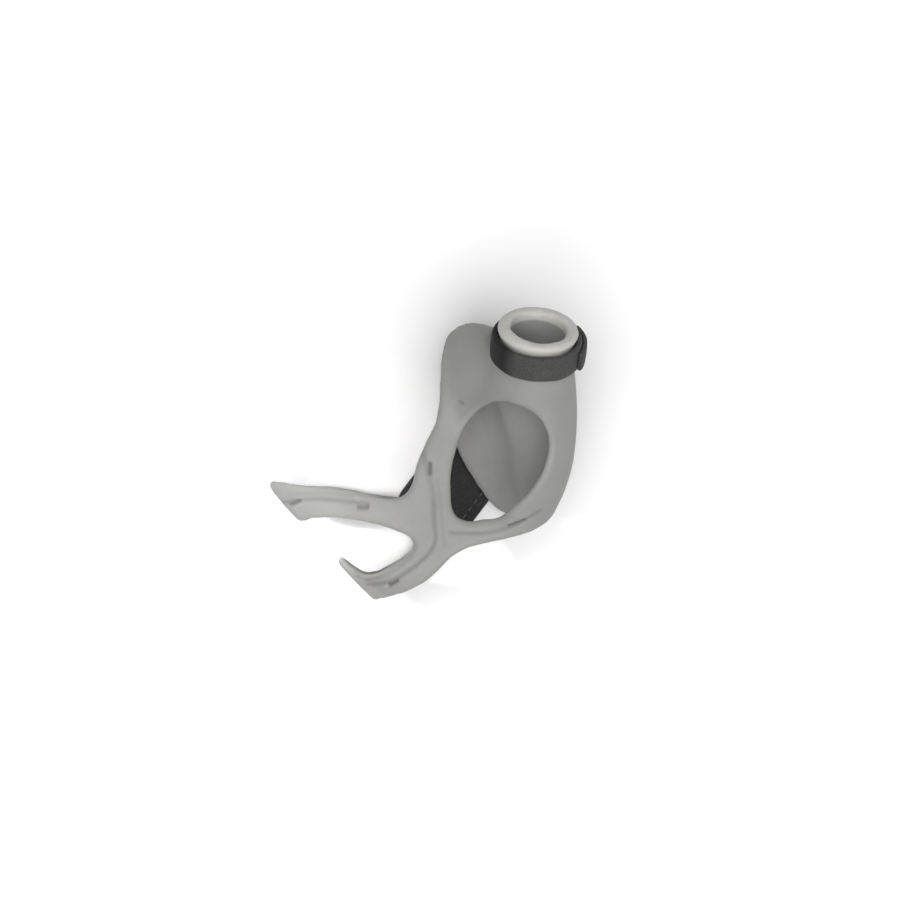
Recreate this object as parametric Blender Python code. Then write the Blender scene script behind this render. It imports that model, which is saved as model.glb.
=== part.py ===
"""Right-sided thumb splint, lying on its back: a moulded one-piece frame, a strap round its thumb collar and a
plain strap across its back. +Z is the palm side with the window, +Y leads from the arms to the collar's rim and
+X to the collar. The origin lies on the outer face of the back strap, below the middle of the palm side."""

import math
from collections import namedtuple

import bmesh
import bpy
from mathutils import Matrix, Vector

MM = 0.001

# Mould form that the frame is shaped on: a palm and a thumb of two bones
PALM_BREADTH = 80 * MM
PALM_LENGTH = 90 * MM
PALM_DEPTH = 28 * MM
PALM_SIDE_SHARE = 0.52
THUMB_BREADTH = 20 * MM
THUMB_SPREAD = math.radians(34)
METACARPAL_LENGTH = 56 * MM
METACARPAL_RISE = math.radians(20)
PHALANX_LENGTH = 40 * MM
PHALANX_RISE = math.radians(35)

# Middle of the mould form's palm, from the middle of the back strap
PALM_PLACE_ACROSS = -8.0 * MM
PALM_PLACE_ALONG = 3.5 * MM

# Frame
FRAME_WALL = 3.0 * MM
COLLAR_RIM = 3.0 * MM
WINDOW_DIP = 0.7

# Straps
STRAP_GAP = 0.3 * MM
SEAT_DEPTH = 0.5 * MM
THUMB_STRAP_WIDTH = 8.6 * MM
THUMB_STRAP_WALL = 2.0 * MM
THUMB_STRAP_STATION = 17.3 * MM
STRAP_END_LENGTH = 14.0 * MM
STRAP_END_WIDTH = 7.8 * MM
STRAP_END_WALL = 1.5 * MM
STRAP_END_TURN = math.radians(-28)
BACK_STRAP_WIDTH = 25.0 * MM
BACK_STRAP_LENGTH = 50.0 * MM
BACK_STRAP_TURN = math.radians(25)
BACK_STRAP_WALL = 1.6 * MM
BACK_STRAP_CORNER = 6.0 * MM
STRAP_EDGE = 0.3 * MM

# Mesh
CELL = 2.2 * MM
SMOOTHING_PASSES = 26
FRAME_CELL = 0.9 * MM
FRAME_PASSES = 16
SMOOTH_FACTOR = 0.5
FRAME_SHARE = 0.13
EDGE_PASSES = 6
SHORT_EDGE = 0.4 * CELL
WELD_PASSES = 3
SECTION_SIDES = 40
OUTLINE_STEPS = 5
CORNER_STEPS = 4
REACH = 200 * MM
SEAT_REACH = 6 * MM
TRIM_OVERLAP = 1 * MM
FLATTENING = 1.5 * MM

FORM_BACK = BACK_STRAP_WALL + STRAP_GAP + FRAME_WALL
SIDE_HEIGHT = FORM_BACK + PALM_SIDE_SHARE * PALM_DEPTH
COLLAR_END = THUMB_STRAP_STATION + THUMB_STRAP_WIDTH / 2 + COLLAR_RIM

PalmSection = namedtuple("PalmSection", "along ulnar radial depth squareness")
PALM_SECTIONS = (
    # along is a share of the palm's length, ulnar and radial of its breadth, depth of its depth
    PalmSection(-0.72, -0.385, 0.24, 1.20, 2.2),
    PalmSection(-0.36, -0.435, 0.26, 1.18, 2.3),
    PalmSection(-0.20, -0.493, 0.28, 1.12, 2.4),
    PalmSection(0.00, -0.555, 0.31, 1.05, 2.5),
    PalmSection(0.22, -0.62, 0.35, 1.00, 2.6),
    PalmSection(0.45, -0.62, 0.36, 0.95, 2.6),
    PalmSection(0.70, -0.58, 0.34, 0.85, 2.5),
)

ThumbSection = namedtuple("ThumbSection", "along breadth depth")
METACARPAL_SECTIONS = (
    # along is a share of the bone's length, breadth and depth are shares of the thumb's breadth
    ThumbSection(0.00, 0.52, 1.00),
    ThumbSection(0.20, 0.73, 1.20),
    ThumbSection(0.43, 1.22, 1.34),
    ThumbSection(0.62, 1.40, 1.40),
    ThumbSection(0.85, 1.36, 1.32),
)
PHALANX_SECTIONS = (
    ThumbSection(0.00, 1.26, 1.22),
    ThumbSection(0.22, 1.08, 1.04),
    ThumbSection(0.40, 0.98, 0.94),
    ThumbSection(1.00, 0.98, 0.94),
)
WebSection = namedtuple("WebSection", "along half_length half_wall")
WEB_SECTIONS = (
    # along runs from the palm to the knuckle of the thumb, the rest are shares of the thumb's breadth
    WebSection(0.00, 0.70, 0.45),
    WebSection(0.25, 0.95, 0.40),
    WebSection(0.50, 1.32, 0.38),
    WebSection(1.00, 0.80, 0.45),
)

OutlinePoint = namedtuple("OutlinePoint", "across along")
# across is a share of the palm's breadth, along of its length
PALM_OUTLINE = (
    OutlinePoint(0.385, 0.436),
    OutlinePoint(0.299, 0.412),
    OutlinePoint(0.219, 0.350),
    OutlinePoint(0.156, 0.261),
    OutlinePoint(0.090, 0.180),
    OutlinePoint(-0.016, 0.118),
    OutlinePoint(-0.088, 0.047),
    OutlinePoint(-0.138, -0.008),
    OutlinePoint(-0.204, -0.020),
    OutlinePoint(-0.293, 0.046),
    OutlinePoint(-0.419, 0.141),
    OutlinePoint(-0.525, 0.191),
    OutlinePoint(-0.622, 0.258),
    OutlinePoint(-0.780, 0.300),
    OutlinePoint(-0.850, 0.000),
    OutlinePoint(-0.780, -0.230),
    OutlinePoint(-0.560, -0.262),
    OutlinePoint(-0.421, -0.310),
    OutlinePoint(-0.330, -0.332),
    OutlinePoint(-0.225, -0.328),
    OutlinePoint(-0.110, -0.293),
    OutlinePoint(-0.022, -0.300),
    OutlinePoint(0.095, -0.330),
    OutlinePoint(0.229, -0.330),
    OutlinePoint(0.330, -0.300),
    OutlinePoint(0.480, -0.270),
    OutlinePoint(0.700, -0.250),
    OutlinePoint(0.950, 0.000),
    OutlinePoint(0.950, 0.400),
    OutlinePoint(0.750, 0.560),
    OutlinePoint(0.520, 0.500),
)
LENS_OUTLINE = (
    OutlinePoint(-0.216, -0.190),
    OutlinePoint(-0.262, -0.128),
    OutlinePoint(-0.357, -0.044),
    OutlinePoint(-0.465, 0.028),
    OutlinePoint(-0.574, 0.080),
    OutlinePoint(-0.725, 0.090),
    OutlinePoint(-0.780, 0.020),
    OutlinePoint(-0.700, -0.050),
    OutlinePoint(-0.550, -0.075),
    OutlinePoint(-0.505, -0.125),
    OutlinePoint(-0.478, -0.180),
    OutlinePoint(-0.428, -0.212),
    OutlinePoint(-0.345, -0.216),
    OutlinePoint(-0.265, -0.211),
)
WINDOW_OUTLINE = (
    OutlinePoint(0.225, 0.109),
    OutlinePoint(0.322, 0.120),
    OutlinePoint(0.394, 0.086),
    OutlinePoint(0.439, 0.016),
    OutlinePoint(0.440, -0.066),
    OutlinePoint(0.386, -0.142),
    OutlinePoint(0.290, -0.202),
    OutlinePoint(0.173, -0.233),
    OutlinePoint(0.057, -0.220),
    OutlinePoint(-0.034, -0.178),
    OutlinePoint(0.002, -0.084),
    OutlinePoint(0.061, -0.001),
    OutlinePoint(0.148, 0.072),
)
YOKE_OUTLINE = (
    OutlinePoint(-0.780, 0.300),
    OutlinePoint(-0.620, 0.255),
    OutlinePoint(-0.525, 0.190),
    OutlinePoint(-0.419, 0.135),
    OutlinePoint(-0.293, 0.040),
    OutlinePoint(-0.190, -0.020),
    OutlinePoint(-0.110, -0.070),
    OutlinePoint(-0.070, -0.150),
    OutlinePoint(-0.100, -0.240),
    OutlinePoint(-0.190, -0.300),
    OutlinePoint(-0.300, -0.325),
    OutlinePoint(-0.421, -0.310),
    OutlinePoint(-0.560, -0.262),
    OutlinePoint(-0.780, -0.230),
    OutlinePoint(-0.850, 0.000),
)
BACK_PLATE_OUTLINE = (
    OutlinePoint(0.385, 0.436),
    OutlinePoint(0.290, 0.400),
    OutlinePoint(0.200, 0.310),
    OutlinePoint(0.120, 0.170),
    OutlinePoint(0.095, 0.020),
    OutlinePoint(0.100, -0.130),
    OutlinePoint(0.130, -0.250),
    OutlinePoint(0.220, -0.305),
    OutlinePoint(0.330, -0.300),
    OutlinePoint(0.480, -0.270),
    OutlinePoint(0.700, -0.250),
    OutlinePoint(0.950, 0.000),
    OutlinePoint(0.950, 0.400),
    OutlinePoint(0.750, 0.560),
    OutlinePoint(0.520, 0.500),
)

ACROSS, UP = Vector((1, 0, 0)), Vector((0, 0, 1))
PALM_MIDDLE = Vector((PALM_PLACE_ACROSS, PALM_PLACE_ALONG, FORM_BACK))


def clear_scene():
    for old in list(bpy.data.objects):
        bpy.data.objects.remove(old)


def heading(spread, rise):
    """Unit vector that leans from +Y to +X by spread and rises off the palm by rise."""
    return Vector((math.sin(spread) * math.cos(rise), math.cos(spread) * math.cos(rise), math.sin(rise)))


def root(across, along, up):
    """Place in the palm of the mould form, as shares of its breadth, length and depth."""
    return PALM_MIDDLE + Vector((across * PALM_BREADTH, along * PALM_LENGTH, up * PALM_DEPTH))


THUMB_ROOT = root(across=0.10, along=-0.39, up=0.61)
WEB_ROOT = root(across=0.15, along=0.17, up=0.55)
METACARPAL = heading(THUMB_SPREAD, METACARPAL_RISE)
PHALANX = heading(THUMB_SPREAD, PHALANX_RISE)
THUMB_SIDE = Vector((math.cos(THUMB_SPREAD), -math.sin(THUMB_SPREAD), 0))
PHALANX_FRONT = THUMB_SIDE.cross(PHALANX)
KNUCKLE = THUMB_ROOT + METACARPAL * METACARPAL_LENGTH
COLLAR_FORM = Vector((PHALANX_SECTIONS[-1].breadth, PHALANX_SECTIONS[-1].depth)) * THUMB_BREADTH / 2
STRAP_INNER = FRAME_WALL - SEAT_DEPTH + STRAP_GAP


def oval(centre, side, front, half_side, half_front, squareness=2.0):
    """Corners of a superellipse round centre, in the plane of side and front."""
    corners = []
    for i in range(SECTION_SIDES):
        turn = math.tau * i / SECTION_SIDES
        across, up = math.cos(turn), math.sin(turn)
        across = math.copysign(abs(across) ** (2 / squareness), across)
        up = math.copysign(abs(up) ** (2 / squareness), up)
        corners.append(centre + side * half_side * across + front * half_front * up)
    return corners


def new_object(name, shape):
    mesh = bpy.data.meshes.new(name)
    shape.to_mesh(mesh)
    shape.free()
    made = bpy.data.objects.new(name, mesh)
    bpy.context.scene.collection.objects.link(made)
    return made


def guide(made):
    made.hide_render = True
    made.display_type = "WIRE"
    return made


def finish(name, colour, roughness):
    material = bpy.data.materials.new(name)
    material.use_nodes = True
    shader = material.node_tree.nodes["Principled BSDF"]
    shader.inputs["Base Color"].default_value = (*colour, 1.0)
    shader.inputs["Roughness"].default_value = roughness
    return material


def lofted(name, rings):
    """Closed tube through rings of corners, with flat ends."""
    shape = bmesh.new()
    loops = [[shape.verts.new(corner) for corner in ring] for ring in rings]
    edges = [[shape.edges.new((loop[i - 1], loop[i])) for i in range(len(loop))] for loop in loops]
    for first, second in zip(edges, edges[1:]):
        bmesh.ops.bridge_loops(shape, edges=first + second)
    shape.faces.new(loops[0])
    shape.faces.new(loops[-1])
    bmesh.ops.recalc_face_normals(shape, faces=shape.faces)
    return new_object(name, shape)


def palm_form():
    rings = []
    for row in PALM_SECTIONS:
        ulnar, radial = row.ulnar * PALM_BREADTH, row.radial * PALM_BREADTH
        half_depth = (row.depth * PALM_DEPTH + FLATTENING) / 2
        place = Vector(((ulnar + radial) / 2, row.along * PALM_LENGTH, half_depth - FLATTENING))
        half_breadth = (radial - ulnar) / 2
        rings.append(
            oval(PALM_MIDDLE + place, ACROSS, UP, half_breadth, half_depth, row.squareness)
        )
    return lofted("palm_form", rings)


def thumb_form():
    rings = []
    for start, along, length, rows in (
        (THUMB_ROOT, METACARPAL, METACARPAL_LENGTH, METACARPAL_SECTIONS),
        (KNUCKLE, PHALANX, PHALANX_LENGTH, PHALANX_SECTIONS),
    ):
        front = THUMB_SIDE.cross(along)
        for row in rows:
            half_side, half_front = row.breadth * THUMB_BREADTH / 2, row.depth * THUMB_BREADTH / 2
            rings.append(oval(start + along * length * row.along, THUMB_SIDE, front, half_side, half_front))
    return lofted("thumb_form", rings)


def web_form():
    run = KNUCKLE - WEB_ROOT
    side = (METACARPAL - METACARPAL.project(run)).normalized()
    front = side.cross(run).normalized()
    rings = []
    for row in WEB_SECTIONS:
        half_side, half_front = row.half_length * THUMB_BREADTH, row.half_wall * THUMB_BREADTH
        rings.append(oval(WEB_ROOT + run * row.along, side, front, half_side, half_front))
    return lofted("web_form", rings)


def evaluated_mesh(made):
    """Mesh of an object as its modifiers leave it."""
    depsgraph = bpy.context.evaluated_depsgraph_get()
    return bpy.data.meshes.new_from_object(made.evaluated_get(depsgraph), depsgraph=depsgraph)


def fuse(made, cell, passes):
    """Makes one smooth surface of whatever the object holds."""
    remesh = made.modifiers.new("remesh", "REMESH")
    remesh.mode = "VOXEL"
    remesh.voxel_size = cell
    smooth = made.modifiers.new("smooth", "SMOOTH")
    smooth.factor = SMOOTH_FACTOR
    smooth.iterations = passes


def flatten_back(made, height):
    """Bakes the modifiers and lifts whatever lies lower than a height to it."""
    made.data = evaluated_mesh(made)
    made.modifiers.clear()
    for vertex in made.data.vertices:
        vertex.co.z = max(vertex.co.z, height)


def mould_form():
    """Smooth guide that the frame is shaped on, with a flat back at FORM_BACK."""
    shape = bmesh.new()
    for limb in (palm_form(), thumb_form(), web_form()):
        shape.from_mesh(limb.data)
        guide(limb)
    form = guide(new_object("mould_form", shape))
    fuse(form, CELL, SMOOTHING_PASSES)
    flatten_back(form, FORM_BACK)
    form.data.materials.append(FORM)
    return form


def palm_point(point):
    """Place of an outline's point, from above."""
    return PALM_MIDDLE.to_2d() + Vector((point.across * PALM_BREADTH, point.along * PALM_LENGTH))


def smooth_outline(points):
    """Closed curve through the points of an outline, in the plane of the palm."""
    anchors = [palm_point(point) for point in points]
    curve = []
    for i, start in enumerate(anchors):
        before, end, after = anchors[i - 1], anchors[(i + 1) % len(anchors)], anchors[(i + 2) % len(anchors)]
        for step in range(OUTLINE_STEPS):
            t = step / OUTLINE_STEPS
            bend = 2 * start + (end - before) * t
            bend += (2 * before - 5 * start + 4 * end - after) * t**2
            bend += (3 * start - before - 3 * end + after) * t**3
            curve.append(bend / 2)
    return curve


def cutter(made):
    made.data.materials.append(CUT)
    return guide(made)


def prism(name, corners, low, high):
    """Upright cutter over an outline, from height low to height high."""
    rings = [[Vector((corner.x, corner.y, height)) for corner in corners] for height in (low, high)]
    return cutter(lofted(name, rings))


def bone_height(corner):
    """Height of a plane along the thumb's first bone, which dips towards the palm."""
    offset = corner - THUMB_ROOT.to_2d()
    run = offset.dot(METACARPAL.to_2d().normalized())
    return THUMB_ROOT.z + run * math.tan(METACARPAL_RISE) + offset.dot(THUMB_SIDE.to_2d()) * WINDOW_DIP


def window_cutter():
    """Upright cutter that stops inside the thumb, so that only the palm side is open."""
    corners = smooth_outline(WINDOW_OUTLINE)
    low = [Vector((corner.x, corner.y, bone_height(corner))) for corner in corners]
    high = [corner + UP * REACH for corner in low]
    return cutter(lofted("window", (low, high)))


def thumb_end_cutter():
    """Block past the collar's rim, square to the thumb."""
    start = KNUCKLE + PHALANX * COLLAR_END
    half = 1.5 * THUMB_BREADTH
    rings = [oval(start + PHALANX * run, THUMB_SIDE, PHALANX_FRONT, half, half) for run in (0, PHALANX_LENGTH)]
    return cutter(lofted("thumb_end", rings))


def apply_boolean(target, operation, cutter):
    boolean = target.modifiers.new(cutter.name, "BOOLEAN")
    boolean.operation = operation
    boolean.solver = "EXACT"
    boolean.material_mode = "TRANSFER"
    boolean.object = cutter


def band(name, inner, wall, width, turns=None):
    """Band round the thumb at the strap's station: a whole ring, or the stretch between two turns.

    inner is how far its inner face lies outside the mould form.
    """
    start, end = turns or (0, math.tau)
    steps = max(3, round(SECTION_SIDES * (end - start) / math.tau))
    middle = KNUCKLE + PHALANX * THUMB_STRAP_STATION
    sections = []
    for i in range(steps + (1 if turns else 0)):
        turn = start + (end - start) * i / steps
        section = []
        for outward, along in ((inner, -0.5), (inner, 0.5), (inner + wall, 0.5), (inner + wall, -0.5)):
            across = THUMB_SIDE * math.cos(turn) * (COLLAR_FORM.x + outward)
            up = PHALANX_FRONT * math.sin(turn) * (COLLAR_FORM.y + outward)
            section.append(middle + PHALANX * width * along + across + up)
        sections.append(section)
    shape = bmesh.new()
    loops = [[shape.verts.new(corner) for corner in section] for section in sections]
    if not turns:
        loops.append(loops[0])
    for first, second in zip(loops, loops[1:]):
        for i in range(4):
            shape.faces.new((first[i - 1], first[i], second[i], second[i - 1]))
    if turns:
        shape.faces.new(loops[0])
        shape.faces.new(loops[-1])
    bmesh.ops.recalc_face_normals(shape, faces=shape.faces)
    return new_object(name, shape)


def soften(made, width):
    bevel = made.modifiers.new("edges", "BEVEL")
    bevel.width = width
    bevel.segments = 1
    bevel.limit_method = "ANGLE"
    bevel.angle_limit = math.radians(40)


def paint(made, material):
    made.data.materials.clear()
    made.data.materials.append(material)
    made.data.shade_smooth()
    made.data.set_sharp_from_angle(angle=math.radians(35))
    return made


def trimmed_sheet(form):
    """Surface of the form inside the outlines, as an open sheet."""
    low, high = -REACH, REACH
    trim = prism("trim", smooth_outline(PALM_OUTLINE), SIDE_HEIGHT, high)
    for name, outline in (("yoke_trim", YOKE_OUTLINE), ("plate_trim", BACK_PLATE_OUTLINE)):
        apply_boolean(trim, "UNION", prism(name, smooth_outline(outline), low, SIDE_HEIGHT + TRIM_OVERLAP))
    sheet = form.copy()
    sheet.data = form.data.copy()
    bpy.context.scene.collection.objects.link(sheet)
    apply_boolean(sheet, "INTERSECT", trim)
    apply_boolean(sheet, "DIFFERENCE", prism("lens", smooth_outline(LENS_OUTLINE), low, high))
    apply_boolean(sheet, "DIFFERENCE", window_cutter())
    apply_boolean(sheet, "DIFFERENCE", thumb_end_cutter())
    mesh = evaluated_mesh(sheet)
    bpy.data.objects.remove(sheet)
    shape = bmesh.new()
    shape.from_mesh(mesh)
    cut = [face for face in shape.faces if mesh.materials[face.material_index] == CUT]
    bmesh.ops.delete(shape, geom=cut, context="FACES")
    return shape


def weld_short_edges(shape):
    """Merges the slivers that the cuts leave, and keeps the free edge where it is."""
    kept, targets = set(), {}
    for edge in sorted(shape.edges, key=lambda edge: edge.calc_length()):
        first, second = edge.verts
        bridge = first.is_boundary and second.is_boundary and not edge.is_boundary
        if edge.calc_length() > SHORT_EDGE or bridge or first in kept or second in kept:
            continue
        if first.is_boundary:
            first, second = second, first
        targets[first] = second
        kept.update((first, second))
    bmesh.ops.weld_verts(shape, targetmap=targets)


def relax_edges(shape):
    """Evens out the sheet's free edges."""
    for _ in range(EDGE_PASSES):
        moved = {}
        for vertex in shape.verts:
            ends = [edge.other_vert(vertex).co for edge in vertex.link_edges if edge.is_boundary]
            if len(ends) == 2:
                moved[vertex] = (vertex.co * 2 + ends[0] + ends[1]) / 4
        for vertex, place in moved.items():
            vertex.co = place
    bmesh.ops.triangulate(shape, faces=[face for face in shape.faces if len(face.verts) > 4])


def strap_seat():
    """Cutter that sinks the thumb strap into the collar and clears the web beside it."""
    inner = FRAME_WALL - SEAT_DEPTH
    return cutter(band("strap_seat", inner, SEAT_REACH, THUMB_STRAP_WIDTH + 2 * STRAP_GAP))


def frame(form):
    shape = trimmed_sheet(form)
    for _ in range(WELD_PASSES):
        weld_short_edges(shape)
    relax_edges(shape)
    made = new_object("frame", shape)
    solidify = made.modifiers.new("wall", "SOLIDIFY")
    solidify.thickness = FRAME_WALL
    solidify.offset = 1.0
    fuse(made, FRAME_CELL, FRAME_PASSES)
    thin_out = made.modifiers.new("thin_out", "DECIMATE")
    thin_out.ratio = FRAME_SHARE
    flatten_back(made, BACK_STRAP_WALL + STRAP_GAP)
    seat = made.modifiers.new("seat", "BOOLEAN")
    seat.operation = "DIFFERENCE"
    seat.solver = "EXACT"
    seat.object = strap_seat()
    return paint(made, finish("soft_touch_grey", (0.33, 0.33, 0.33), 0.6))


def thumb_strap():
    strap = band("thumb_strap", STRAP_INNER, THUMB_STRAP_WALL, THUMB_STRAP_WIDTH)
    soften(strap, STRAP_EDGE)
    paint(strap, finish("strap_charcoal", (0.05, 0.05, 0.055), 0.85))
    lap = STRAP_INNER + THUMB_STRAP_WALL + STRAP_GAP
    length = STRAP_END_LENGTH / (COLLAR_FORM.x + lap)
    end = band("strap_end", lap, STRAP_END_WALL, STRAP_END_WIDTH, (STRAP_END_TURN, STRAP_END_TURN + length))
    soften(end, STRAP_EDGE)
    paint(end, finish("strap_end_charcoal", (0.07, 0.07, 0.075), 0.8))


def back_strap():
    half_length, half_width = BACK_STRAP_LENGTH / 2, BACK_STRAP_WIDTH / 2
    corners = []
    for quarter, (right, up) in enumerate(((1, 1), (-1, 1), (-1, -1), (1, -1))):
        middle = Vector((right * (half_length - BACK_STRAP_CORNER), up * (half_width - BACK_STRAP_CORNER)))
        for step in range(CORNER_STEPS + 1):
            turn = math.pi / 2 * (quarter + step / CORNER_STEPS)
            corners.append(middle + BACK_STRAP_CORNER * Vector((math.cos(turn), math.sin(turn))))
    turned = [Matrix.Rotation(BACK_STRAP_TURN, 2) @ corner for corner in corners]
    rings = [[Vector((*corner, height)) for corner in turned] for height in (0, BACK_STRAP_WALL)]
    strap = lofted("back_strap", rings)
    soften(strap, STRAP_EDGE)
    paint(strap, finish("back_strap_charcoal", (0.06, 0.06, 0.065), 0.85))


clear_scene()
FORM = finish("form", (0.8, 0.6, 0.5), 0.6)
CUT = finish("cut", (1.0, 0.0, 0.0), 0.6)
frame(mould_form())
thumb_strap()
back_strap()
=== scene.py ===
"""Looks of a right-side thumb splint: a moulded soft-touch frame, the hook-and-loop strap round its thumb
collar and the flat strap across its back, lying palm side up in a plain studio."""

from __future__ import annotations

import logging
import math
from dataclasses import dataclass, field
from enum import Enum

import bmesh
import bpy
import numpy as np
from mathutils import Matrix, Vector


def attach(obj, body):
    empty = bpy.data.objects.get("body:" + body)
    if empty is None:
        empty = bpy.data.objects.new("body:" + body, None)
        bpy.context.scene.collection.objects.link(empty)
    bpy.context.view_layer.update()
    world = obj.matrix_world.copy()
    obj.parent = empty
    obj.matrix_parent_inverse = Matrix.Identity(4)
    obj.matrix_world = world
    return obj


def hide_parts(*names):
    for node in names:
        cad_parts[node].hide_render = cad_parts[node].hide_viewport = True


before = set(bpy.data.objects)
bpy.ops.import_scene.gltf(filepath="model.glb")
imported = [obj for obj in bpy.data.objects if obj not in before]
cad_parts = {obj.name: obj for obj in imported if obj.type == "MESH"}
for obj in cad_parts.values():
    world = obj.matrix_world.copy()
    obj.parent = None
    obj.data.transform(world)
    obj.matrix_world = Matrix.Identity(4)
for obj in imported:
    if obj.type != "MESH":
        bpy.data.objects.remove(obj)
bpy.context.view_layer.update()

MM = 0.001
UP = Vector((0, 0, 1))
LOG = logging.getLogger("thumb_splint")

# Photo: how far it is turned against the splint, its scale, and the pixel of the middle of the palm side
IMAGE_SIDE = 900
PHOTO_TURN = math.radians(28)
PIXELS_PER_MM = 3.1
PALM_PIXEL = (440, 470)

# Middle of the palm side from the middle of the back strap, and how the collar leaves it
PALM_PLACE = Vector((-8 * MM, 3.5 * MM))
THUMB_SPREAD = math.radians(34)
PHALANX_RISE = math.radians(35)

# Gap between the straps and the frame
STRAP_GAP = 0.3 * MM


def linear(code: str) -> tuple[float, float, float, float]:
    """Turns an sRGB hex code into linear colour.

    Args:
        code: six hex digits after a hash mark.

    Returns:
        Red, green, blue and an alpha of one.
    """
    parts = [int(code[i : i + 2], 16) / 255 for i in (1, 3, 5)]
    light = [part / 12.92 if part <= 0.04045 else ((part + 0.055) / 1.055) ** 2.4 for part in parts]
    return (*light, 1.0)


def add_node(
    tree: bpy.types.NodeTree, kind: str, inputs: dict[str | int, object] | None = None, **settings: object
) -> bpy.types.Node:
    """Adds a node with its settings, values and links.

    Args:
        tree: node tree of the material.
        kind: Blender's name for the node type.
        inputs: by socket name or number, a value or the socket that feeds it.
        settings: properties of the node itself.

    Returns:
        The new node.
    """
    node = tree.nodes.new(kind)
    for name, value in settings.items():
        setattr(node, name, value)
    for name, value in (inputs or {}).items():
        if isinstance(value, bpy.types.NodeSocket):
            tree.links.new(value, node.inputs[name])
        else:
            node.inputs[name].default_value = value
    return node


def new_material(name: str) -> tuple[bpy.types.Material, bpy.types.NodeTree, bpy.types.Node]:
    """Makes an empty material.

    Args:
        name: plain name of the finish.

    Returns:
        The material, its node tree and its Principled shader.
    """
    material = bpy.data.materials.new(name)
    material.use_nodes = True
    tree = material.node_tree
    return material, tree, tree.nodes["Principled BSDF"]


@dataclass(frozen=True)
class MouldedElastomer:
    """Thermoplastic elastomer from a spark-eroded mould: dull, even grey, with a painted highlight on its
    edges and painted shade in its grooves.
    """

    name: str = "moulded_elastomer"
    body: str = "#939391"
    shade: str = "#8E8E8B"
    # Painted highlight on the edges and on the collar's rim
    edge_highlight: str = "#C0BEB9"
    # Painted shade in the grooves and slots
    groove_shade: str = "#696968"
    smoothest: float = 0.52
    roughest: float = 0.66
    grain: float = 0.7 * MM
    grain_depth: float = 0.06 * MM
    cloud: float = 14 * MM

    def make(self) -> bpy.types.Material:
        """Builds the material.

        Returns:
            The finished material.
        """
        # Soft-touch elastomer has no glint: its fine grain spreads each highlight into a broad dull sheen
        material, tree, shader = new_material(self.name)
        place = add_node(tree, "ShaderNodeTexCoord").outputs["Object"]
        cloud = add_node(
            tree, "ShaderNodeTexNoise", {"Vector": place, "Scale": 1 / self.cloud, "Detail": 2.0}
        ).outputs["Fac"]
        # The grain is finer than a pixel, and is drawn coarser so that it shows
        grain = add_node(
            tree, "ShaderNodeTexNoise", {"Vector": place, "Scale": 1 / self.grain, "Detail": 3.0}
        ).outputs["Fac"]
        patchy = add_node(tree, "ShaderNodeMapRange", {"Value": cloud, "From Min": 0.35, "From Max": 0.65})
        edge = add_node(tree, "ShaderNodeAttribute", attribute_name="edge")
        groove_shade = add_node(tree, "ShaderNodeAttribute", attribute_name="groove_shade")
        colour = linear(self.body)
        # Over the random tone, the finish paints a pale highlight on the edges and the collar's rim, and
        # shade into the grooves and slots
        for share, tone in (
            (patchy.outputs["Result"], self.shade),
            (edge.outputs["Fac"], self.edge_highlight),
            (groove_shade.outputs["Fac"], self.groove_shade),
        ):
            mix = add_node(tree, "ShaderNodeMix", {0: share, 6: colour, 7: linear(tone)}, data_type="RGBA")
            colour = mix.outputs[2]
        tree.links.new(colour, shader.inputs["Base Color"])
        dull = add_node(
            tree, "ShaderNodeMapRange", {"Value": grain, "To Min": self.smoothest, "To Max": self.roughest}
        )
        tree.links.new(dull.outputs["Result"], shader.inputs["Roughness"])
        shader.inputs["IOR"].default_value = 1.5
        bump = add_node(
            tree, "ShaderNodeBump", {"Height": grain, "Strength": 0.35, "Distance": self.grain_depth}
        )
        tree.links.new(bump.outputs["Normal"], shader.inputs["Normal"])
        return material


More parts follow.
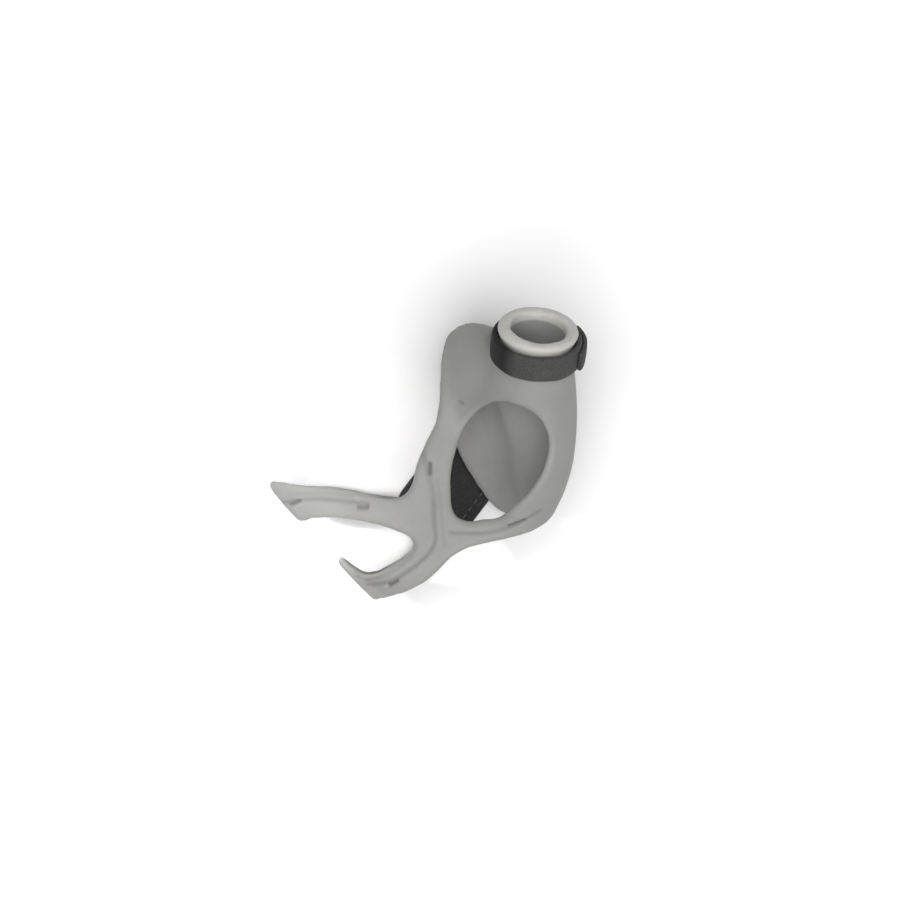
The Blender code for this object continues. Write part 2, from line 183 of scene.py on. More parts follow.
@dataclass(frozen=True)
class BrushedLoop:
    """Brushed nylon loop fabric laminated to foam: napped, matt and slightly streaked."""

    name: str
    body: str = "#545453"
    dark: str = "#3B3B3B"
    lint: str = "#666665"
    # Painted shade where the strap tucks in beside the web
    tuck_shade: str = "#141415"
    nap: float = 0.35 * MM
    tuft: float = 0.455 * MM
    streak: float = 9 * MM
    nap_depth: float = 0.15 * MM

    def make(self) -> bpy.types.Material:
        """Builds the material.

        Returns:
            The finished material.
        """
        # Brushed loops scatter light, so the strap has no highlight, only a speckle and a little lint
        material, tree, shader = new_material(self.name)
        place = add_node(tree, "ShaderNodeTexCoord").outputs["Object"]
        nap = add_node(
            tree,
            "ShaderNodeTexNoise",
            {"Vector": place, "Scale": 1 / self.nap, "Detail": 4.0, "Distortion": 0.8},
        ).outputs["Fac"]
        tuft = add_node(tree, "ShaderNodeTexVoronoi", {"Vector": place, "Scale": 1 / self.tuft})
        streak = add_node(
            tree, "ShaderNodeTexNoise", {"Vector": place, "Scale": 1 / self.streak, "Detail": 3.0}
        ).outputs["Fac"]
        raised = add_node(tree, "ShaderNodeMapRange", {"Value": nap, "From Min": 0.3, "From Max": 0.7})
        linty = add_node(tree, "ShaderNodeMapRange", {"Value": streak, "From Min": 0.55, "From Max": 0.95})
        # The shaded attribute paints shade onto the strap where it tucks in beside the web
        shaded = add_node(tree, "ShaderNodeAttribute", attribute_name="shaded")
        colour = linear(self.dark)
        for share, tone in (
            (raised.outputs["Result"], self.body),
            (linty.outputs["Result"], self.lint),
            (shaded.outputs["Fac"], self.tuck_shade),
        ):
            mix = add_node(tree, "ShaderNodeMix", {0: share, 6: colour, 7: linear(tone)}, data_type="RGBA")
            colour = mix.outputs[2]
        tree.links.new(colour, shader.inputs["Base Color"])
        shader.inputs["Roughness"].default_value = 0.92
        shader.inputs["Specular IOR Level"].default_value = 0.2
        shader.inputs["Sheen Weight"].default_value = 0.05
        shader.inputs["Sheen Roughness"].default_value = 0.5
        height = add_node(tree, "ShaderNodeMath", {0: nap, 1: tuft.outputs["Distance"]}, operation="SUBTRACT")
        bump = add_node(
            tree,
            "ShaderNodeBump",
            {"Height": height.outputs[0], "Strength": 0.6, "Distance": self.nap_depth},
        )
        tree.links.new(bump.outputs["Normal"], shader.inputs["Normal"])
        return material


@dataclass(frozen=True)
class SewingThread:
    """Twisted polyester thread, slightly glossy."""

    name: str = "sewing_thread"
    body: str = "#5E5E60"
    # Painted shade in the twist's grooves
    groove: str = "#48484A"
    twist: float = 0.4 * MM
    twist_depth: float = 0.08 * MM

    def make(self) -> bpy.types.Material:
        """Builds the material.

        Returns:
            The finished material.
        """
        # The twist breaks the thread's gloss into short slanting glints
        material, tree, shader = new_material(self.name)
        place = add_node(tree, "ShaderNodeTexCoord").outputs["Object"]
        ply = add_node(
            tree, "ShaderNodeTexWave", {"Vector": place, "Scale": 0.3 / self.twist, "Distortion": 1.0}
        ).outputs["Fac"]
        # The darker tone in the twist's grooves is painted shade
        mix = add_node(
            tree, "ShaderNodeMix", {0: ply, 6: linear(self.groove), 7: linear(self.body)}, data_type="RGBA"
        )
        tree.links.new(mix.outputs[2], shader.inputs["Base Color"])
        shader.inputs["Roughness"].default_value = 0.5
        bump = add_node(
            tree, "ShaderNodeBump", {"Height": ply, "Strength": 0.5, "Distance": self.twist_depth}
        )
        tree.links.new(bump.outputs["Normal"], shader.inputs["Normal"])
        return material


def photo_point(pixel: tuple[float, float]) -> Vector:
    """Place on the palm plane of a pixel of the photo.

    Args:
        pixel: column and row in the photo.

    Returns:
        Place from above, in metres.
    """
    offset = Vector((pixel[0] - PALM_PIXEL[0], PALM_PIXEL[1] - pixel[1])) * (MM / PIXELS_PER_MM)
    return PALM_PLACE + Matrix.Rotation(-PHOTO_TURN, 2) @ offset


def new_piece(
    name: str, shape: bmesh.types.BMesh, material: bpy.types.Material
) -> bpy.types.Object:
    """Makes an object of a mesh and puts it on the splint.

    Args:
        name: name of the piece.
        shape: its mesh, which is used up.
        material: its finish.

    Returns:
        The new object.
    """
    mesh = bpy.data.meshes.new(name)
    shape.to_mesh(mesh)
    shape.free()
    piece = bpy.data.objects.new(name, mesh)
    bpy.context.scene.collection.objects.link(piece)
    mesh.materials.append(material)
    mesh.shade_smooth()
    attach(piece, "root")
    return piece


class Profile(Enum):
    """Cross-section of a groove or recess."""

    SOFT = "rounded groove"
    FLAT = "recess with a flat floor"


@dataclass(frozen=True)
class Pressing:
    """Groove or recess in the palm side, along a route through pixels of the photo."""

    route: tuple[tuple[float, float], ...]
    profile: Profile = Profile.SOFT
    half_width: float = 1.1 * MM
    depth: float = 0.35 * MM

    def share(self, points: np.ndarray) -> np.ndarray:
        """How deep the pressing is at many points.

        Args:
            points: places from above, one a row.

        Returns:
            A share of its depth for each point.
        """
        route = rounded_route([photo_point(pixel) for pixel in self.route], 8)
        fall = np.clip(1 - along_route(points, route) / self.half_width, 0, 1)
        if self.profile is Profile.FLAT:
            return np.clip(2.2 * fall, 0, 1)
        return fall**2 * (3 - 2 * fall)


def along_route(points: np.ndarray, route: list[Vector]) -> np.ndarray:
    """Distance of many points from a route.

    Args:
        points: places from above, one a row.
        route: corners of the route.

    Returns:
        The distance of each point.
    """
    best = np.full(len(points), np.inf)
    for start, end in zip(route, route[1:]):
        first, run = np.array(start), np.array(end - start)
        share = np.clip((points - first) @ run / (run @ run), 0, 1)
        best = np.minimum(best, np.linalg.norm(points - first - share[:, None] * run, axis=1))
    return best


def rounded_route(corners: list[Vector], steps: int) -> list[Vector]:
    """Smooth curve through the corners of a route.

    Args:
        corners: two or more places.
        steps: pieces between two corners.

    Returns:
        Places along the curve.
    """
    padded = [2 * corners[0] - corners[1], *corners, 2 * corners[-1] - corners[-2]]
    curve = []
    for before, start, end, after in zip(padded, padded[1:], padded[2:], padded[3:]):
        for step in range(steps):
            t = step / steps
            bend = 2 * start + (end - before) * t
            bend += (2 * before - 5 * start + 4 * end - after) * t**2
            curve.append((bend + (3 * start - before - 3 * end + after) * t**3) / 2)
    return [*curve, corners[-1]]


@dataclass
class ThumbAxes:
    """Middle and directions of the thumb collar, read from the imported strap."""

    centre: Vector = field(init=False)
    along: Vector = field(init=False)
    side: Vector = field(init=False)
    front: Vector = field(init=False)
    half_side: float = field(init=False)
    half_front: float = field(init=False)
    width: float = field(init=False)

    def __post_init__(self) -> None:
        """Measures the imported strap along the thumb's own directions."""
        spread, rise = THUMB_SPREAD, PHALANX_RISE
        level = Vector((math.sin(spread), math.cos(spread), 0))
        self.along = level * math.cos(rise) + UP * math.sin(rise)
        self.side = Vector((math.cos(spread), -math.sin(spread), 0))
        self.front = self.side.cross(self.along)
        corners = [vertex.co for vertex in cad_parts["thumb_strap"].data.vertices]
        spans = []
        for axis in (self.side, self.front, self.along):
            reach = [corner.dot(axis) for corner in corners]
            spans.append((min(reach), max(reach)))
        middle = [(low + high) / 2 for low, high in spans]
        self.centre = self.side * middle[0] + self.front * middle[1] + self.along * middle[2]
        self.half_side, self.half_front, half_width = ((high - low) / 2 for low, high in spans)
        self.width = 2 * half_width

    def placed(self) -> Matrix:
        """Matrix from the strap's own directions to the splint's."""
        turn = Matrix((self.side, self.front, self.along)).transposed().to_4x4()
        return Matrix.Translation(self.centre) @ turn

    def past_middle(self, places: np.ndarray) -> np.ndarray:
        """How far each of many places lies past the strap's middle, towards the rim."""
        return (places - np.array(self.centre)) @ np.array(self.along)


def rounded_section(
    shape: bmesh.types.BMesh, inner: float, wall: float, width: float, corner: float
) -> list[bmesh.types.BMEdge | bmesh.types.BMVert]:
    """Draws a rounded section beside the vertical axis, ready to spin.

    Args:
        shape: empty mesh that takes the section.
        inner: distance of its inner face from the axis.
        wall: its thickness.
        width: its breadth along the axis.
        corner: how far each corner is cut back.

    Returns:
        The section's edges and vertices.
    """
    corners = []
    for right, up in ((0, -0.5), (1, -0.5), (1, 0.5), (0, 0.5)):
        corners.append(shape.verts.new((inner + right * wall, 0, up * width)))
    shape.faces.new(corners)
    bmesh.ops.bevel(
        shape, geom=corners, offset=corner, segments=4, profile=0.5, affect="VERTICES", material=-1
    )
    long_edges = [edge for edge in shape.edges if edge.calc_length() > 0.5 * width]
    bmesh.ops.subdivide_edges(shape, edges=long_edges, cuts=10)
    bmesh.ops.delete(shape, geom=list(shape.faces), context="FACES_KEEP_BOUNDARY")
    return [*shape.edges, *shape.verts]


def mesh_arrays(mesh: bpy.types.Mesh) -> tuple[np.ndarray, np.ndarray, np.ndarray, np.ndarray]:
    """Places, normals and edges of a mesh.

    Args:
        mesh: mesh that is read.

    Returns:
        Places and normals, one a row, and the two ends of each edge.
    """
    places, normals = np.empty(len(mesh.vertices) * 3), np.empty(len(mesh.vertices) * 3)
    mesh.vertices.foreach_get("co", places)
    mesh.vertices.foreach_get("normal", normals)
    ends = np.empty(len(mesh.edges) * 2, dtype=np.int64)
    mesh.edges.foreach_get("vertices", ends)
    first, second = ends.reshape(-1, 2).T
    return places.reshape(-1, 3), normals.reshape(-1, 3), first, second


def neighbour_mean(values: np.ndarray, first: np.ndarray, second: np.ndarray) -> np.ndarray:
    """Mean of the values at each point's neighbours.

    Args:
        values: one row a point.
        first: one end of each edge.
        second: its other end.

    Returns:
        The means, one row a point.
    """
    near, far = np.concatenate((first, second)), np.concatenate((second, first))
    links = np.bincount(near, minlength=len(values))
    totals = [np.bincount(near, weights=column[far], minlength=len(values)) for column in values.T]
    return np.stack(totals, axis=1) / np.maximum(links, 1)[:, None]


@dataclass
class MouldedFrame:
    """The one-piece grey frame: thumb plate, window, arms, collar and back plates."""

    cell: float = 0.55 * MM
    passes: int = 36
    inward: float = 0.50
    outward: float = -0.52
    palm_height: float = 20 * MM
    rim_length: float = 3.0 * MM
    rim_wall: float = 3.0 * MM
    rim_corner: float = 1.2 * MM
    rim_under_strap: float = 1.8 * MM
    rim_fade: float = 0.5 * MM
    # Two places where the mould forms meet, which are eased
    meetings: tuple[tuple[float, float], ...] = ((427, 436), (483, 514))
    ease_reach: float = 4.5 * MM
    ease_passes: int = 70
    # How sharply the frame bends, as a share that counts as an edge
    bend_passes: int = 6
    bend_gain: float = 8.0
    bend_least: float = 0.1
    blur_passes: int = 8
    even_passes: int = 45
    spread_passes: int = 80
    strap_clearance: float = 1 * MM
    # Depth of a pressing that takes the whole of the painted groove shade, and how the painted edge highlight
    # follows the edges
    darkest: float = 0.8 * MM
    highlight_passes: int = 3
    highlight_gain: float = 9.0
    highlight_least: float = 0.2
    pressings: tuple[Pressing, ...] = (
        Pressing(((281, 504), (296, 501), (320, 499.5), (345, 501), (368, 504)), depth=0.42 * MM),
        Pressing(((288, 497), (305, 494), (330, 493.5), (352, 496)), depth=0.18 * MM),
        Pressing(
            ((433, 500), (434, 524), (435, 538), (430, 550), (419, 561), (405, 572), (388, 582), (368, 585)),
            depth=0.42 * MM,
        ),
        Pressing(((437, 478), (440, 500), (442, 524), (444, 544)), half_width=0.9 * MM, depth=0.16 * MM),
        Pressing(((350, 571), (364, 579), (380, 577), (396, 568), (412, 555)), depth=0.18 * MM),
        Pressing(((450, 531), (470, 531.5), (490, 531), (508, 527), (526, 519), (540, 510))),
        Pressing(((421, 448), (427, 468), (432, 488), (434, 508)), half_width=1.6 * MM, depth=0.25 * MM),
        Pressing(((430, 463), (430, 473)), Profile.FLAT, 0.75 * MM, 0.8 * MM),
        Pressing(((359, 507), (367, 507)), Profile.FLAT, 1.0 * MM, 0.6 * MM),
        Pressing(((290, 505), (299, 501)), Profile.FLAT, 0.75 * MM, 0.8 * MM),
        Pressing(((389, 585), (397, 580)), Profile.FLAT, 0.85 * MM, 0.8 * MM),
        Pressing(((508, 526), (524, 520)), Profile.FLAT, 0.65 * MM, 0.8 * MM),
        Pressing(((458, 402), (462, 404)), Profile.FLAT, 0.7 * MM, 0.3 * MM),
    )

    def build(self) -> bpy.types.Object:
        """Builds and dresses the frame.

        Returns:
            The frame's object.
        """
        axes = ThumbAxes()
        shape = bmesh.new()
        shape.from_mesh(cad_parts["frame"].data)
        bmesh.ops.remove_doubles(shape, verts=shape.verts, dist=0.01 * MM)
        self.add_rim(shape, axes)
        piece = new_piece("moulded_frame", shape, MouldedElastomer().make())
        self.smooth(piece)
        self.ease(piece.data)
        self.even(piece.data, axes)
        self.press(piece.data, axes)
        piece.data.shade_smooth()
        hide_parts("frame")
        return piece

    def add_rim(self, shape: bmesh.types.BMesh, axes: ThumbAxes) -> None:
        """Adds an even lip round the collar's rim, which the remesh fuses with the frame.

        Args:
            shape: the frame's mesh.
            axes: middle and directions of the collar.
        """
        lip = bmesh.new()
        inner = axes.half_side - self.rim_under_strap - self.rim_wall
        section = rounded_section(lip, inner, self.rim_wall, self.rim_length, self.rim_corner)
        bmesh.ops.spin(lip, geom=section, axis=UP, angle=math.tau, steps=120, use_merge=True)
        bmesh.ops.recalc_face_normals(lip, faces=lip.faces)
        squeeze = (axes.half_front - self.rim_under_strap) / (axes.half_side - self.rim_under_strap)
        start = axes.width / 2 + self.rim_length / 2 + STRAP_GAP
        place = axes.placed() @ Matrix.Translation(UP * start) @ Matrix.Diagonal((1, squeeze, 1, 1))
        bmesh.ops.transform(lip, matrix=place, verts=lip.verts)
        mesh = bpy.data.meshes.new("lip")
        lip.to_mesh(mesh)
        lip.free()
        shape.from_mesh(mesh)

    def smooth(self, piece: bpy.types.Object) -> None:
        """Gives the frame a fine even mesh with round edges.

        Args:
            piece: the frame's object.
        """
        remesh = piece.modifiers.new("remesh", "REMESH")
        remesh.mode = "VOXEL"
        remesh.voxel_size = self.cell
        depsgraph = bpy.context.evaluated_depsgraph_get()
        piece.data = bpy.data.meshes.new_from_object(piece.evaluated_get(depsgraph), depsgraph=depsgraph)
        piece.modifiers.clear()
        places, _, first, second = mesh_arrays(piece.data)
        for step in range(2 * self.passes):
            share = self.outward if step % 2 else self.inward
            places = places + share * (neighbour_mean(places, first, second) - places)
        self.move(piece.data, places)

    def move(self, mesh: bpy.types.Mesh, places: np.ndarray) -> None:
        """Puts the points of a mesh at new places."""
        mesh.vertices.foreach_set("co", places.ravel())
        mesh.update()

    def ease(self, mesh: bpy.types.Mesh) -> None:
        """Evens the palm side where two mould forms meet.

        Args:
            mesh: the frame's mesh.
        """
        places, _, first, second = mesh_arrays(mesh)
        meetings = [np.array(photo_point(pixel)) for pixel in self.meetings]
        away = np.min([np.linalg.norm(places[:, :2] - spot, axis=1) for spot in meetings], axis=0)
        near = np.clip(2 - away / self.ease_reach, 0, 1)
        ease = np.where(places[:, 2] > self.palm_height, near, 0)[:, None] / 2
        for _ in range(self.ease_passes):
            places = places + ease * (neighbour_mean(places, first, second) - places)
        self.move(mesh, places)

    def even(self, mesh: bpy.types.Mesh, axes: ThumbAxes) -> None:
        """Takes the waves out of the frame's edges, then pushes the edges out by what they lost on average.

        Args:
            mesh: the frame's mesh.
            axes: middle and directions of the collar.
        """
        places, normals, first, second = mesh_arrays(mesh)
        bent = normals
        for _ in range(self.bend_passes):
            bent = (bent + neighbour_mean(bent, first, second)) / 2
        weight = np.clip((1 - np.linalg.norm(bent, axis=1)) * self.bend_gain - self.bend_least, 0, 1)
        below_strap = axes.past_middle(places) + axes.width / 2 < -self.strap_clearance
        weight = np.where(below_strap, weight, 0)[:, None]
        for _ in range(self.blur_passes):
            weight = (weight + neighbour_mean(weight, first, second)) / 2
        kept = places
        for _ in range(self.even_passes):
            places = places + weight / 2 * (neighbour_mean(places, first, second) - places)
        lost = np.sum((kept - places) * normals, axis=1, keepdims=True)
        both = np.hstack((weight * lost, weight))
        for _ in range(self.spread_passes):
            both = neighbour_mean(both, first, second)
        self.move(mesh, places + normals * weight * (both[:, :1] / np.maximum(both[:, 1:], 1e-4)))

    def press(self, mesh: bpy.types.Mesh, axes: ThumbAxes) -> None:
        """Presses the grooves and slots into the palm side, and marks the painted shade in them and the
        painted highlight on the edges and the collar's rim for the finish.

        Args:
            mesh: the frame's mesh.
            axes: middle and directions of the collar.
        """
        places, normals, first, second = mesh_arrays(mesh)
        outer = (places[:, 2] > self.palm_height) & (normals[:, 2] > 0.1)
        # Each pressing's depth also sets how much painted shade it takes
        depth, groove_shade = np.zeros(len(places)), np.zeros(len(places))
        for pressing in self.pressings:
            share = np.where(outer, pressing.share(places[:, :2]), 0)
            depth = np.maximum(depth, share * pressing.depth)
            groove_shade = np.maximum(groove_shade, share * pressing.depth / self.darkest)
        places = places - normals * depth[:, None]
        self.move(mesh, places)
        # A painted highlight goes where the frame bends sharply and on the collar's rim past the strap
        bent = normals
        for _ in range(self.highlight_passes):
            bent = (bent + neighbour_mean(bent, first, second)) / 2
        edge = np.clip((1 - np.linalg.norm(bent, axis=1)) * self.highlight_gain - self.highlight_least, 0, 1)
        rim = np.clip((axes.past_middle(places) - axes.width / 2) / self.rim_fade, 0, 1)
        for name, values in (("groove_shade", groove_shade), ("edge", np.maximum(edge, rim))):
            mesh.attributes.new(name, "FLOAT", "POINT").data.foreach_set("value", values)


@dataclass
class ThumbStrap:
    """Hook-and-loop strap round the collar, with its overlapping end on the outer side."""

    wall: float = 2.0 * MM
    crown: float = 0.25 * MM
    steps: int = 180
    end_wall: float = 1.4 * MM
    end_gap: float = 0.1 * MM
    end_width: float = 7.8 * MM
    end_from: float = math.radians(-36)
    end_sweep: float = math.radians(61)
    end_lift: float = 0.25 * MM
    end_taper: float = 0.22
    # Painted shade on the stretch that tucks in beside the web: its turn, half of its reach and the fade at
    # its ends, in degrees
    tuck_turn: float = 8.0
    tuck_reach: float = 58.0
    tuck_fade: float = 22.0
    tuck_shade_most: float = 0.85

    def section(self, shape: bmesh.types.BMesh, inner: float, wall: float, width: float) -> list:
        """Draws the strap's section with its outer face slightly crowned.

        Args:
            shape: mesh that takes the section.
            inner: distance of its inner face from the axis.
            wall: its thickness at its edges.
            width: its breadth along the axis.

        Returns:
            The section's edges and vertices.
        """
        section = rounded_section(shape, inner, wall, width, 0.35 * wall)
        for vertex in shape.verts:
            if vertex.co.x > inner + 0.9 * wall:
                vertex.co.x += self.crown * (1 - (2 * vertex.co.z / width) ** 2)
        return section

    def build_ring(self, axes: ThumbAxes) -> bpy.types.Object:
        """Builds the strap that goes all the way round.

        Args:
            axes: middle and directions of the collar.

        Returns:
            The strap's object.
        """
        shape = bmesh.new()
        section = self.section(shape, axes.half_side - self.wall, self.wall - self.crown, axes.width)
        bmesh.ops.spin(shape, geom=section, axis=UP, angle=math.tau, steps=self.steps, use_merge=True)
        bmesh.ops.recalc_face_normals(shape, faces=shape.faces)
        squeeze = axes.half_front / axes.half_side
        bmesh.ops.transform(shape, matrix=Matrix.Diagonal((1, squeeze, 1, 1)), verts=shape.verts)
        self.settle(shape)
        shaded = [self.shade(vertex.co) for vertex in shape.verts]
        bmesh.ops.transform(shape, matrix=axes.placed(), verts=shape.verts)
        piece = new_piece("thumb_strap_loop", shape, BrushedLoop("brushed_loop").make())
        piece.data.attributes.new("shaded", "FLOAT", "POINT").data.foreach_set("value", shaded)
        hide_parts("thumb_strap")
        return piece

    def settle(self, shape: bmesh.types.BMesh) -> None:
        """Lets the strap's edges wander slightly, as fabric does.

        Args:
            shape: mesh of the strap in its own directions.
        """
        for vertex in shape.verts:
            turn = math.atan2(vertex.co.y, vertex.co.x)
            vertex.co.z += 0.10 * MM * math.sin(5 * turn + 0.6) + 0.06 * MM * math.sin(11 * turn)

    def shade(self, place: Vector) -> float:
        """How much painted shade the strap takes where it tucks in beside the web.

        Args:
            place: point in the strap's own directions.

        Returns:
            A value from nought to one.
        """
        turn = math.degrees(math.atan2(place.y, -place.x))
        share = (self.tuck_reach - abs(turn - self.tuck_turn)) / self.tuck_fade
        return min(1.0, max(0.0, share)) * self.tuck_shade_most

    def build_end(self, axes: ThumbAxes) -> bpy.types.Object:
        """Builds the overlapping end.

        Args:
            axes: middle and directions of the collar.

        Returns:
            The end's object.
        """
        shape = bmesh.new()
        inner = axes.half_side + self.end_gap
        section = self.section(shape, inner, self.end_wall - self.crown, self.end_width)
        bmesh.ops.transform(shape, matrix=Matrix.Rotation(self.end_from, 4, "Z"), verts=shape.verts)
        steps = round(self.steps * self.end_sweep / math.tau)
        bmesh.ops.spin(shape, geom=section, axis=UP, angle=self.end_sweep, steps=steps)
        bmesh.ops.holes_fill(shape, edges=[edge for edge in shape.edges if edge.is_boundary], sides=0)
        bmesh.ops.recalc_face_normals(shape, faces=shape.faces)
        for vertex in shape.verts:
            share = (math.atan2(vertex.co.y, vertex.co.x) - self.end_from) / self.end_sweep
            tip = max(0.0, (share - 0.55) / 0.45)
            vertex.co.z *= 1 - self.end_taper * tip**3
            stretch = 1 + self.end_lift * tip**2 / axes.half_side
            vertex.co.x *= stretch
            vertex.co.y *= stretch
        squeeze = axes.half_front / axes.half_side
        bmesh.ops.transform(shape, matrix=Matrix.Diagonal((1, squeeze, 1, 1)), verts=shape.verts)
        bmesh.ops.transform(shape, matrix=axes.placed(), verts=shape.verts)
        finish = BrushedLoop("brushed_loop_end", body="#525253", dark="#303031")
        piece = new_piece("thumb_strap_end", shape, finish.make())
        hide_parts("strap_end")
        return piece

    def build(self) -> list[bpy.types.Object]:
        """Builds the strap and its end.

        Returns:
            The two objects.
        """
        axes = ThumbAxes()
        return [self.build_ring(axes), self.build_end(axes)]


@dataclass
class BackStrap:
    """Flat strap across the splint's back, sewn round its border."""

    length: float = 50 * MM
    width: float = 25 * MM
    wall: float = 1.6 * MM
    corner: float = 6 * MM
    turn: float = math.radians(25)
    seam_inset: float = 2.4 * MM
    seam_depth: float = 0.35 * MM
    seam_width: float = 0.9 * MM
    seam_slope: float = 0.3
    seam_thread: float = 0.75
    edge_round: float = 0.35 * MM
    stitch_pitch: float = 3.0 * MM
    stitch_length: float = 2.1 * MM
    stitch_width: float = 0.5 * MM

    def build_band(self) -> bpy.types.Object:
        """Builds the strap with the channel that its seam lies in.

        Returns:
            The strap's object.
        """
        shape = bmesh.new()
        corners = []
        for right, up in ((-1, -1), (-1, 1), (1, 1), (1, -1)):
            corners.append(shape.verts.new((right * self.length / 2, up * self.width / 2, 0)))
        shape.faces.new(corners)
        bmesh.ops.bevel(
            shape, geom=corners, offset=self.corner, segments=10, profile=0.5, affect="VERTICES", material=-1
        )
        lower = list(shape.faces)
        raised = bmesh.ops.extrude_face_region(shape, geom=lower)["geom"]
        top = [item for item in raised if isinstance(item, bmesh.types.BMVert)]
        bmesh.ops.translate(shape, vec=UP * self.wall, verts=top)
        bmesh.ops.recalc_face_normals(shape, faces=shape.faces)
        flats = [face for face in shape.faces if abs(face.normal.z) > 0.9]
        for face in flats:
            bmesh.ops.inset_individual(shape, faces=[face], thickness=self.seam_inset)
            rings = []
            for breadth in (self.seam_width, self.seam_width * self.seam_slope):
                rings.append(bmesh.ops.inset_individual(shape, faces=[face], thickness=breadth)["faces"])
            outer, inner = ({vertex for ring in found for vertex in ring.verts} for found in rings)
            bmesh.ops.translate(shape, vec=-face.normal * self.seam_depth, verts=list(outer & inner))
        border = [edge for edge in shape.edges if edge.calc_face_angle(0) > math.radians(60)]
        bmesh.ops.bevel(
            shape, geom=border, offset=self.edge_round, segments=3, profile=0.5, affect="EDGES", material=-1
        )
        bmesh.ops.rotate(shape, matrix=Matrix.Rotation(self.turn, 3, "Z"), verts=shape.verts)
        finish = BrushedLoop("strap_laminate", body="#3C3C3D", dark="#272728")
        piece = new_piece("back_strap_band", shape, finish.make())
        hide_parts("back_strap")
        return piece

    def build_stitches(self) -> bpy.types.Object:
        """Builds the stitches of the border, in its channel on both faces.

        Returns:
            The stitches as one object.
        """
        inset = self.seam_inset + self.seam_width
        half_length, half_width = self.length / 2 - inset, self.width / 2 - inset
        radius = self.corner - inset
        runs = []
        for number, (right, up) in enumerate(((1, 1), (-1, 1), (-1, -1), (1, -1))):
            middle = Vector((right * (half_length - radius), up * (half_width - radius)))
            for step in range(7):
                turn = math.pi / 2 * (number + step / 6)
                runs.append(middle + radius * Vector((math.cos(turn), math.sin(turn))))
        shape = bmesh.new()
        sunk = self.seam_depth * self.seam_thread
        for start, end in self.spaced(runs):
            for height in (sunk, self.wall - sunk):
                self.add_stitch(shape, start, end, height)
        bmesh.ops.rotate(shape, matrix=Matrix.Rotation(self.turn, 3, "Z"), verts=shape.verts)
        return new_piece("back_strap_stitches", shape, SewingThread().make())

    def spaced(self, runs: list[Vector]) -> list[tuple[Vector, Vector]]:
        """Ends of the stitches along a closed route.

        Args:
            runs: corners of the route.

        Returns:
            Start and end of each stitch.
        """
        whole = sum((end - start).length for start, end in zip(runs, runs[1:] + runs[:1]))
        count = round(whole / self.stitch_pitch)
        starts = [whole * i / count for i in range(count)]
        return [(self.at(runs, start), self.at(runs, start + self.stitch_length)) for start in starts]

    def at(self, runs: list[Vector], distance: float) -> Vector:
        """Place at a distance along a closed route.

        Args:
            runs: corners of the route.
            distance: how far along it.

        Returns:
            The place.
        """
        for start, end in zip(runs * 2, (runs * 2)[1:]):
            length = (end - start).length
            if distance <= length:
                return start.lerp(end, distance / length)
            distance -= length
        return runs[0]

    def add_stitch(self, shape: bmesh.types.BMesh, start: Vector, end: Vector, height: float) -> None:
        """Adds one stitch.

        Args:
            shape: mesh that takes it.
            start: one end, from above.
            end: its other end.
            height: height of its middle.
        """
        run = end - start
        middle = (start + end) / 2
        place = Matrix.Translation((middle.x, middle.y, height)) @ Matrix.Rotation(
            math.atan2(run.y, run.x), 4, "Z"
        )
        size = Matrix.Diagonal((run.length / 2, self.stitch_width / 2, self.stitch_width * 0.4, 1))
        bmesh.ops.create_uvsphere(shape, u_segments=8, v_segments=6, radius=1.0, matrix=place @ size)

    def build(self) -> list[bpy.types.Object]:
        """Builds the strap and its stitches.

        Returns:
            The two objects.
        """
        return [self.build_band(), self.build_stitches()]


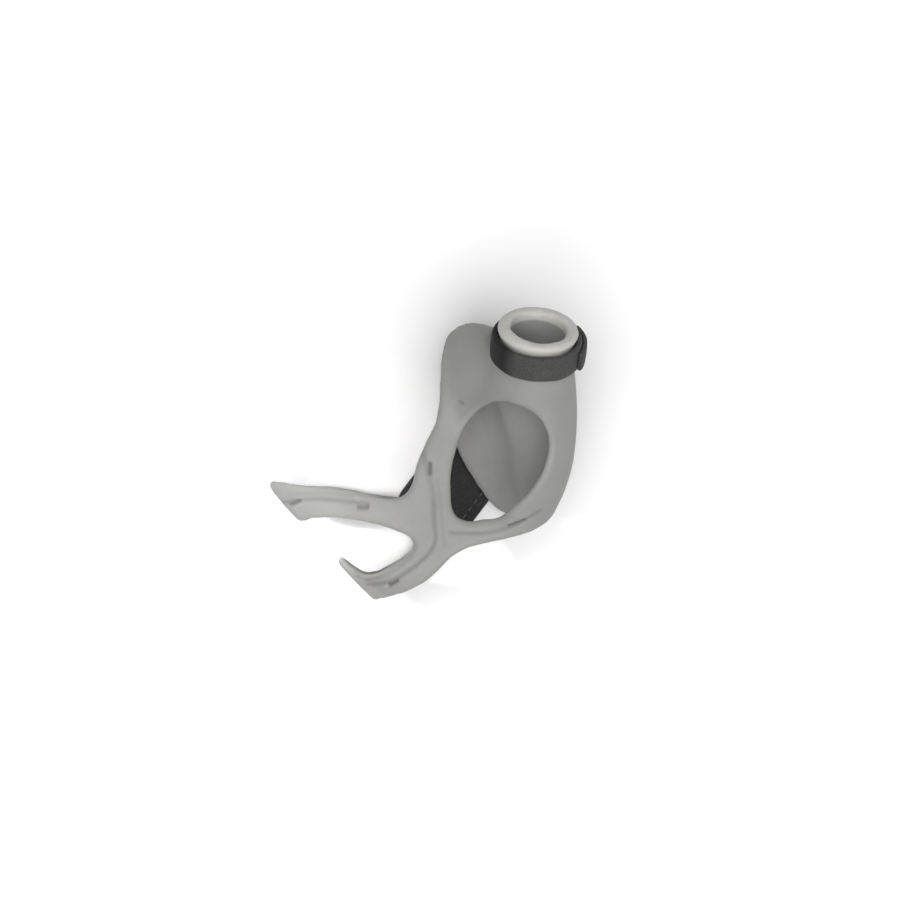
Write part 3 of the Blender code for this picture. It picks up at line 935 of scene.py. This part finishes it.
@dataclass
class Studio:
    """Plain pale floor, soft light and the photo's view from above."""

    lens: float = 135.0
    sensor: float = 36.0
    subject_height: float = 32 * MM
    floor_side: float = 6.0
    floor_tone: str = "#FBFBFB"
    fill: float = 0.16

    def build_camera(self) -> None:
        """Places the camera over the photo's middle, turned as the photo is."""
        data = bpy.data.cameras.new("camera")
        data.lens = self.lens
        data.sensor_width = self.sensor
        covered = IMAGE_SIDE / PIXELS_PER_MM * MM
        middle = photo_point((IMAGE_SIDE / 2, IMAGE_SIDE / 2))
        camera = bpy.data.objects.new("camera", data)
        camera.location = (middle.x, middle.y, self.subject_height + covered * self.lens / self.sensor)
        camera.rotation_euler = (0, 0, -PHOTO_TURN)
        bpy.context.scene.collection.objects.link(camera)
        bpy.context.scene.camera = camera

    def build_floor(self) -> None:
        """Builds the pale floor just under the splint."""
        shape = bmesh.new()
        bmesh.ops.create_grid(shape, x_segments=1, y_segments=1, size=self.floor_side / 2)
        mesh = bpy.data.meshes.new("floor")
        shape.to_mesh(mesh)
        shape.free()
        floor = bpy.data.objects.new("floor", mesh)
        bpy.context.scene.collection.objects.link(floor)
        material, _, shader = new_material("matt_paper")
        shader.inputs["Base Color"].default_value = linear(self.floor_tone)
        shader.inputs["Roughness"].default_value = 0.95
        shader.inputs["Specular IOR Level"].default_value = 0.1
        mesh.materials.append(material)

    def add_light(
        self,
        name: str,
        place: tuple[float, float, float],
        size: float,
        power: float,
        aim: tuple[float, float, float] = (0, 0, 0),
        spread: float = math.pi,
    ) -> None:
        """Adds a soft light.

        Args:
            name: name of the light.
            place: where it hangs, along the photo's right, the photo's up and the height.
            size: side of its square.
            power: watts.
            aim: what it points at, in the same directions.
            spread: angle of the grid in front of it.
        """
        data = bpy.data.lights.new(name, "AREA")
        data.size = size
        data.energy = power
        data.spread = spread
        light = bpy.data.objects.new(name, data)
        turn = Matrix.Rotation(-PHOTO_TURN, 3, "Z")
        light.location = turn @ Vector(place)
        light.rotation_euler = (turn @ (Vector(aim) - Vector(place))).to_track_quat("-Z", "Y").to_euler()
        bpy.context.scene.collection.objects.link(light)

    def build(self) -> None:
        """Builds the camera, the floor and the lights."""
        self.build_camera()
        self.build_floor()
        # The large soft lamp hangs over the palm side, a little to the photo's lower right
        self.add_light("overhead", (0.10, -0.22, 1.6), 1.8, 34.5)
        # A gridded lamp from the left reaches the ends of the arms alone
        self.add_light("side", (-0.45, 0.05, 0.5), 0.04, 0.009, (-0.062, -0.018, 0.03), math.radians(9))
        world = bpy.data.worlds.new("studio")
        world.use_nodes = True
        background = world.node_tree.nodes["Background"]
        background.inputs["Color"].default_value = (1, 1, 1, 1)
        background.inputs["Strength"].default_value = self.fill
        bpy.context.scene.world = world
        bpy.context.scene.view_settings.view_transform = "Standard"


def main() -> None:
    """Builds the splint's pieces in order and the studio round them."""
    logging.basicConfig(level=logging.INFO, format="%(name)s: %(message)s")
    Studio().build()
    pieces = [MouldedFrame().build(), *ThumbStrap().build(), *BackStrap().build()]
    for piece in pieces:
        LOG.info("%s: %d faces", piece.name, len(piece.data.polygons))


if __name__ == "__main__":
    main()
